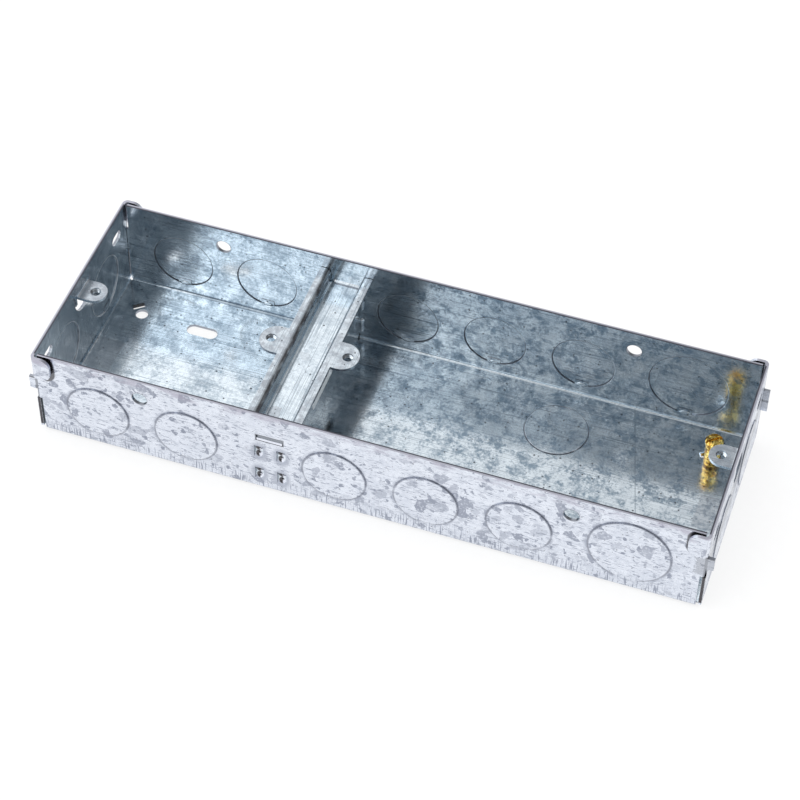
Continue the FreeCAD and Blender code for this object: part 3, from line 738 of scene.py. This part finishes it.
def copy_piece(piece, step):
    """A copy with its own mesh, moved by a step in mm and left as the only piece selected."""
    bpy.ops.object.select_all(action="DESELECT")
    piece.select_set(True)
    bpy.context.view_layer.objects.active = piece
    bpy.ops.object.duplicate(linked=False)
    copy = bpy.context.object
    bpy.ops.transform.translate(value=[part * MM for part in step])
    bpy.ops.object.transform_apply(location=True, rotation=True, scale=True)
    return copy


def set_dimples(first):
    """Copy the first patch to the other three dimples of its wall and to the four of the wall across."""
    row_step = DIMPLE_ROWS[1] - DIMPLE_ROWS[0]
    patches = [first]
    for column, row in ((0, 1), (1, 0), (1, 1)):
        patches.append(copy_piece(first, (2 * DIMPLE_COLUMN * column, 0, row_step * row)))
    for patch in list(patches):
        across = copy_piece(patch, (0, 0, 0))
        bpy.ops.transform.rotate(value=pi, orient_axis="Z", center_override=(BRIDGE_MIDDLE * MM, 0, 0))
        bpy.ops.object.transform_apply(location=True, rotation=True, scale=True)
        patches.append(across)
    for patch in patches:
        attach(patch, "root")


bump = wall_patch("dimple_bump", BUMP_WIDE, BUMP_TALL, -(LONG_WALL - PATCH_PROUD), -pi / 2)
press(bump, DIMPLE_ROWS[0], BUMP_FLAT, BUMP_HEIGHT, BUMP_ROUND)
finish_patch(bump)
set_dimples(bump)

# Corner strips. The edges of the folded walls spread a little at the back corners and beside the end
# lugs, so that only a narrow slit is left open there.
STRIP_CORNER = ((-107.8, 35.0, 0.9), (-107.1, 36.0, 15.2))
STRIP_CHEEK = ((-109.0, 4.2, 26.4), (-108.0, 5.5, 30.7))
STRIP_ROUND = 0.12
SMOOTH_ANGLE = 40


def wall_strip(name, low, high):
    """A narrow bar of sheet between two corners in mm, with its long edges eased."""
    bpy.ops.object.select_all(action="DESELECT")
    middle = [(first + last) / 2 * MM for first, last in zip(low, high)]
    bpy.ops.mesh.primitive_cube_add(size=1, location=middle)
    strip = bpy.context.object
    strip.name = name
    strip.scale = [(last - first) * MM for first, last in zip(low, high)]
    bpy.ops.object.transform_apply(location=True, rotation=True, scale=True)
    bpy.ops.object.mode_set(mode="EDIT")
    bpy.ops.mesh.select_all(action="SELECT")
    bpy.ops.mesh.bevel(offset=STRIP_ROUND * MM, segments=2)
    bpy.ops.object.mode_set(mode="OBJECT")
    bpy.ops.object.shade_smooth_by_angle(angle=radians(SMOOTH_ANGLE))
    strip.data.materials.append(box_metal)
    return strip


def set_strips(first, mirrors):
    """Copy the first strip to the mirrored places and fix all of them to the box."""
    strips = [first]
    for sides in mirrors:
        copy = copy_piece(first, (0, 0, 0))
        bpy.ops.transform.resize(value=sides, center_override=(0, 0, 0))
        bpy.ops.object.transform_apply(location=True, rotation=True, scale=True)
        bpy.ops.object.mode_set(mode="EDIT")
        bpy.ops.mesh.select_all(action="SELECT")
        bpy.ops.mesh.normals_make_consistent(inside=False)
        bpy.ops.object.mode_set(mode="OBJECT")
        strips.append(copy)
    for strip in strips:
        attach(strip, "root")


set_strips(wall_strip("corner_strip", *STRIP_CORNER), [(-1, 1, 1)])
set_strips(wall_strip("lug_cheek", *STRIP_CHEEK), [(-1, 1, 1), (1, -1, 1), (-1, -1, 1)])

# Divider. An inverted channel of the same galvanised sheet, stood on the floor under the bridge to part
# the two sides. Its rolling lines run from wall to wall, its underside carries painted shade, and the sill
# of its cable window is painted pale and less metallic as a painted highlight.
DIVIDER_BRIGHT = 1.0
BAR_CLOUDY = 0.9
BAR_GRAINY = BAR_CLOUDY * GRAIN_SHARE + GRAIN_LEAST
BAR_DULL = 0.1
BAR_SPOT = 4.5
BAR_SPOT_FEW = (0.90, 0.92)
BAR_SPOT_STRONG = (0.0, 1.0, 0.2, 0.6)
UNDERSIDE_SHADE = (-0.4, -0.6, 0.0, 0.35)
SHADED_ZINC = (0.36, 0.43, 0.48, 1)
WEB_TOP = (24.2, 24.5, 0.0, 0.85)
RIGHT_FACE = (0.4, 0.8)
BEND_ASIDE = (0.25, 0.5)
BEND_UP = (0.2, 0.4)
BEND_RISE = (LUG_TOP - 2.0, LUG_TOP - 1.5)
BEND_SHADE_NOISE = (1.2, 5.0, 1.2)
BEND_SHADE_STAIN = (0.36, 0.60, 0.35, 0.9)
TAB_SHADE_INNER = (-34.97, -35.03)
TAB_SHADE_OUTER = (-35.97, -35.9, 0.0, 0.85)
TAB_END_HIGHLIGHT = (35.93, 35.97, 0.0, 0.9)
SILL_FACE = (0.5, 0.4)
SILL_WIDE = (10.0, 9.8)
SILL_RISE = (9.5, 15.5)
SILL_SOFT = 0.5
SILL_SHARE = 0.8


def bar_zinc(name, bright):
    """Zinc of the two bars across the box; marks that only one of them has are placed by height."""
    metal = bpy.data.materials.new(name)
    metal.use_nodes = True
    tree = metal.node_tree
    place = millimetres(tree)
    x, y, z = parts(tree, place)
    across = figure(tree, "ABSOLUTE", y)
    face_x, _, face_z = parts(tree, facing(tree))
    coat = zinc_coat(tree, place, spot(tree, y, x, z), BAR_CLOUDY, BAR_GRAINY, bright, BAR_DULL)
    kind, strength, _ = flakes(tree, torn(tree, place, *RUB_TEAR), BAR_SPOT, shift=29.0)
    spots = product(tree, ramp(tree, kind, *BAR_SPOT_FEW), ramp(tree, strength, *BAR_SPOT_STRONG))
    mark(tree, coat, spots, HANDLED_ZINC)
    lug_wear_and_edge_shade(tree, place, z, coat)
    # Painted shade on faces that look down.
    mark(tree, coat, ramp(tree, face_z, *UNDERSIDE_SHADE), PAINTED_SHADE_BLACK)
    # Painted shade on the upright faces above the web that look right.
    mark(tree, coat, product(tree, ramp(tree, face_x, *RIGHT_FACE), ramp(tree, z, *WEB_TOP)), SHADED_ZINC)
    # Painted shade in patches on the upper bends that face right.
    bend = product(tree, ramp(tree, face_x, *BEND_ASIDE), ramp(tree, face_z, *BEND_UP))
    shade_patches = ramp(tree, lumps(tree, place, BEND_SHADE_NOISE, detail=4.0, shift=17.0), *BEND_SHADE_STAIN)
    mark(tree, coat, product(tree, bend, ramp(tree, z, *BEND_RISE), shade_patches), PAINTED_SHADE_BLACK)
    # Painted shade on the front tab inside the slot of the wall.
    mark(tree, coat, product(tree, ramp(tree, y, *TAB_SHADE_INNER), ramp(tree, y, *TAB_SHADE_OUTER)), CUT_AND_SHADE_ZINC)
    # Painted highlight on the tab ends at the outer face of the walls.
    mark(tree, coat, ramp(tree, across, *TAB_END_HIGHLIGHT), WIPED_AND_HIGHLIGHT_ZINC)
    # The sill of the cable window is painted pale and made less metallic as a painted highlight.
    sill = ramp(tree, figure(tree, "ABSOLUTE", face_x), *SILL_FACE)
    sill = product(tree, sill, ramp(tree, across, *SILL_WIDE), between(tree, z, *SILL_RISE, SILL_SOFT))
    mark(tree, coat, sill, PALE_AND_HIGHLIGHT_ZINC)
    coat.share = figure(tree, "MULTIPLY_ADD", sill, -SILL_SHARE, coat.share)
    zinc_finish(metal, coat)
    return metal


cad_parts["divider"].material_slots[0].material = bar_zinc("zinc_of_divider", DIVIDER_BRIGHT)

# Bridge. A hat-section bar of the same sheet across the box, with a screw lug on each flange and a tab
# at each end that hooks through a slot in the long wall. Its upper bends and upright walls that face right
# carry painted shade, its front tab is painted shade inside the slot, and its tab ends a painted highlight.
BRIDGE_BRIGHT = 0.85

bridge_metal = bar_zinc("zinc_of_bridge", BRIDGE_BRIGHT)
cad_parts["bridge"].material_slots[0].material = bridge_metal

# Lug threads. The holes of the four lugs are drawn down into short collars of the same sheet and tapped
# for the screws of the plates.
LUG_HOLES = (-103.3, -43.0, -17.3, 103.3)
LUG_SLOTS = ("zinc_body", "zinc_bridge", "zinc_bridge", "zinc_body")
THREAD_FOOT = 28.05
THREAD_PITCH = 0.5
THREAD_TURNS = 3
THREAD_STEPS = 32
THREAD_TOOTH = 0.27
TOOTH_SQUASH = 0.8
THREAD_RADIUS = 1.64

bpy.ops.object.select_all(action="DESELECT")
bpy.ops.mesh.primitive_circle_add(vertices=3, radius=THREAD_TOOTH * MM, rotation=(pi / 2, -pi / 2, 0),
                                  location=(LUG_HOLES[0] * MM, 0, THREAD_FOOT * MM))
thread = bpy.context.object
thread.name = "lug_thread"
bpy.ops.object.transform_apply(location=False, rotation=True, scale=True)
bpy.ops.object.mode_set(mode="EDIT")
bpy.ops.mesh.select_all(action="SELECT")
bpy.ops.transform.resize(value=(TOOTH_SQUASH, 1, 1),
                         center_override=(LUG_HOLES[0] * MM, 0, THREAD_FOOT * MM))
bpy.ops.transform.translate(value=(THREAD_RADIUS * MM, 0, 0))
bpy.ops.object.mode_set(mode="OBJECT")
helix = thread.modifiers.new("helix", "SCREW")
helix.axis = "Z"
helix.angle = 2 * pi
helix.screw_offset = THREAD_PITCH * MM
helix.iterations = THREAD_TURNS
helix.steps = THREAD_STEPS
helix.render_steps = THREAD_STEPS
bpy.ops.object.modifier_apply(modifier=helix.name)
bpy.ops.object.mode_set(mode="EDIT")
bpy.ops.mesh.select_all(action="SELECT")
bpy.ops.mesh.fill_holes(sides=3)
bpy.ops.mesh.select_all(action="SELECT")
bpy.ops.mesh.normals_make_consistent(inside=False)
bpy.ops.object.mode_set(mode="OBJECT")
bpy.ops.object.transform_apply(location=True, rotation=True, scale=True)
bpy.ops.object.shade_smooth_by_angle(angle=radians(SMOOTH_ANGLE))
thread.data.materials.append(bridge_metal)
threads = [thread]
for hole in LUG_HOLES[1:]:
    threads.append(copy_piece(thread, (hole - LUG_HOLES[0], 0, 0)))
for piece, slot in zip(threads, LUG_SLOTS):
    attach(piece, "root")

# Earth terminal. A pillar turned from brass bar, riveted into the floor at the right end and cross-drilled
# for the wire. It is tarnished in patches, dented and dark on its dents, and darker towards the foot.
BRIGHT_BRASS = (1.0, 0.72, 0.20, 1)
DARK_BRASS = (0.42, 0.20, 0.025, 1)
DARKEST_BRASS = (0.10, 0.045, 0.008, 1)
TARNISH = 1.3
TARNISH_STAIN = (0.38, 0.64)
TARNISH_HEIGHT = 0.06
TARNISH_ROUGH = (0.3, 0.7, 0.10, 0.24)
TOOL_LINE = (5.0, 5.0, 0.14)
TOOL_HEIGHT = 0.015
DENT = 0.9
DENT_STAIN = (0.54, 0.62, 0.0, 0.9)
DENT_HEIGHT = 0.25
FOOT_DARK = (7.0, 2.0, 0.0, 0.55)
FOOT_DARKEST = (2.2, 1.6, 0.0, 0.8)


def turned_brass(name):
    """Brass with the fine lines of the turning tool across it."""
    metal = bpy.data.materials.new(name)
    metal.use_nodes = True
    tree = metal.node_tree
    place = millimetres(tree)
    rise = parts(tree, place)[2]
    tarnish = lumps(tree, place, TARNISH)
    tool_lines = lumps(tree, place, TOOL_LINE, detail=1.0, shift=9.0)
    dents = lumps(tree, place, DENT, detail=2.0, shift=4.0)
    coat = SimpleNamespace(colour=BRIGHT_BRASS)
    mark(tree, coat, ramp(tree, tarnish, *TARNISH_STAIN), DARK_BRASS)
    # Darker towards the foot, darkest at the very foot.
    mark(tree, coat, ramp(tree, rise, *FOOT_DARK), DARK_BRASS)
    mark(tree, coat, ramp(tree, dents, *DENT_STAIN), DARKEST_BRASS)
    mark(tree, coat, ramp(tree, rise, *FOOT_DARKEST), DARKEST_BRASS)
    coat.height = product(tree, tarnish, TARNISH_HEIGHT)
    emboss(tree, coat, tool_lines, TOOL_HEIGHT)
    emboss(tree, coat, dents, DENT_HEIGHT)
    relief = node(tree, "Bump", {"Strength": 1.0, "Distance": MM, "Height": coat.height})
    skin = tree.nodes["Principled BSDF"]
    skin.inputs["Metallic"].default_value = 1.0
    tree.links.new(coat.colour, skin.inputs["Base Color"])
    tree.links.new(ramp(tree, tarnish, *TARNISH_ROUGH), skin.inputs["Roughness"])
    tree.links.new(relief.outputs[0], skin.inputs["Normal"])
    return metal


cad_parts["earth_terminal"].material_slots[0].material = turned_brass("brass_of_pillar")

# Earth screw. A slotted screw turned from the same brass, which goes down into the pillar and clamps the
# wire in its cross hole.
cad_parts["earth_screw"].material_slots[0].material = turned_brass("brass_of_screw")

# Table. A plain white sheet that the box lies on; it stays white to the camera and in the metal, and
# takes a light shadow. Its side is in metres.
TABLE_SIDE = 10.0
TABLE_DROP = 0.2
TABLE_WHITE = (0.9, 0.9, 0.9, 1)
TABLE_GREY = (0.88, 0.88, 0.88, 1)
TABLE_GRAIN = 4.0
TABLE_STAIN = (0.4, 0.6)
WHITE_SHARE = 0.75

bpy.ops.object.select_all(action="DESELECT")
bpy.ops.mesh.primitive_plane_add(size=TABLE_SIDE, location=(0, 0, -TABLE_DROP * MM))
table = bpy.context.object
table.name = "table"
white = bpy.data.materials.new("table_white")
white.use_nodes = True
white_tree = white.node_tree
white_tree.nodes.remove(white_tree.nodes["Principled BSDF"])
weave = lumps(white_tree, millimetres(white_tree), TABLE_GRAIN)
paper = stain(white_tree, TABLE_WHITE, ramp(white_tree, weave, *TABLE_STAIN), TABLE_GREY)
matt = node(white_tree, "BsdfDiffuse", {"Color": paper})
glow = node(white_tree, "Emission", {"Color": (1, 1, 1, 1), "Strength": 1.0})
rays = node(white_tree, "LightPath").outputs
seen = figure(white_tree, "MAXIMUM", rays["Is Camera Ray"], rays["Is Glossy Ray"])
seen = figure(white_tree, "MAXIMUM", seen, rays["Is Transmission Ray"])
share = figure(white_tree, "MULTIPLY", seen, WHITE_SHARE)
blend = node(white_tree, "MixShader", {0: share, 1: matt.outputs[0], 2: glow.outputs[0]})
white_tree.links.new(blend.outputs[0], white_tree.nodes["Material Output"].inputs["Surface"])
table.data.materials.append(white)

# Studio. A tall soft light stands at the front left and fades quickly to the right, a broad paler one
# fills the back, a long strip hangs overhead, and a lamp that the metal does not mirror lifts the table.
# The two fades are lists of stops from left to right, each a place and a share of full light.
ROOM_TINT = (0.97, 0.985, 1.0, 1)
LIGHT_TOP = 1.7
FRONT_LIGHT = [(0.05, 1.0), (0.11, 0.98), (0.20, 0.56), (0.28, 0.25), (0.37, 0.105), (0.50, 0.08),
               (1.0, 0.14)]
BACK_LIGHT = [(0.05, 0.70), (0.11, 0.68), (0.20, 0.58), (0.28, 0.50), (0.37, 0.45), (0.50, 0.31),
              (1.0, 0.22)]
LEAST_LIFT = 0.05
FADE_MIDDLE = 0.5
FRONT_TO_BACK = (-0.2, 0.2)
STRIP_LIGHT = (0.22, 0.10, 0.0, 0.7)
HORIZON_LIGHT = 0.95
HORIZON = (0.08, 0.35)
LAMP_LEVEL = 1.8
LAMP_SPREAD = 70
LAMP_PLACE = (0.3, -0.2, 1.2)
LAMP_TURN = (10, 14, 0)


def light_fade(tree, feed, stops):
    """Brightness along a list of stops."""
    fade = node(tree, "ValToRGB", {0: feed})
    steps = fade.color_ramp.elements
    for step, (position, level) in zip((steps[0], steps[1]), (stops[0], stops[-1])):
        step.position = position
        step.color = [level] * 3 + [1]
    for position, level in stops[1:-1]:
        steps.new(position).color = [level] * 3 + [1]
    return fade.outputs[0]


room = bpy.data.worlds.new("studio")
bpy.context.scene.world = room
room.use_nodes = True
room_tree = room.node_tree
right, ahead, lift = parts(room_tree, node(room_tree, "TexCoord").outputs["Generated"])
sideways = figure(room_tree, "DIVIDE", right, figure(room_tree, "MAXIMUM", lift, LEAST_LIFT))
sideways = figure(room_tree, "ADD", sideways, FADE_MIDDLE)
front_level = light_fade(room_tree, sideways, FRONT_LIGHT)
back_level = light_fade(room_tree, sideways, BACK_LIGHT)
to_back = ramp(room_tree, ahead, *FRONT_TO_BACK)
level = node(room_tree, "Mix", {0: to_back, 2: front_level, 3: back_level}).outputs[0]
overhead = ramp(room_tree, figure(room_tree, "ABSOLUTE", ahead), *STRIP_LIGHT)
level = figure(room_tree, "MULTIPLY_ADD", level, LIGHT_TOP, overhead)
high = ramp(room_tree, lift, *HORIZON)
level = node(room_tree, "Mix", {0: high, 2: HORIZON_LIGHT, 3: level}).outputs[0]
room_tree.nodes["Background"].inputs["Color"].default_value = ROOM_TINT
room_tree.links.new(level, room_tree.nodes["Background"].inputs["Strength"])

lamp = bpy.data.lights.new("overhead_lamp", "SUN")
lamp.energy = LAMP_LEVEL
lamp.angle = radians(LAMP_SPREAD)
lamp_stand = bpy.data.objects.new("overhead_lamp", lamp)
lamp_stand.location = LAMP_PLACE
lamp_stand.rotation_euler = [radians(turn) for turn in LAMP_TURN]
lamp_stand.visible_glossy = False
bpy.context.scene.collection.objects.link(lamp_stand)

# Camera. It stands in front of the box, a little to the right, and looks down on it through a long lens.
# Its place in metres, its turn and its lens were solved from the photo.
CAMERA_FILM = 36.0
CAMERA_LENS = 111.64
CAMERA_PLACE = (0.16279, -0.49661, 0.60311)
CAMERA_TURN = (41.678, -0.655, 18.867)

lens = bpy.data.cameras.new("camera")
lens.sensor_width = CAMERA_FILM
lens.lens = CAMERA_LENS
camera = bpy.data.objects.new("camera", lens)
camera.location = CAMERA_PLACE
camera.rotation_euler = [radians(turn) for turn in CAMERA_TURN]
bpy.context.scene.collection.objects.link(camera)
bpy.context.scene.camera = camera
bpy.context.scene.view_settings.view_transform = "Standard"
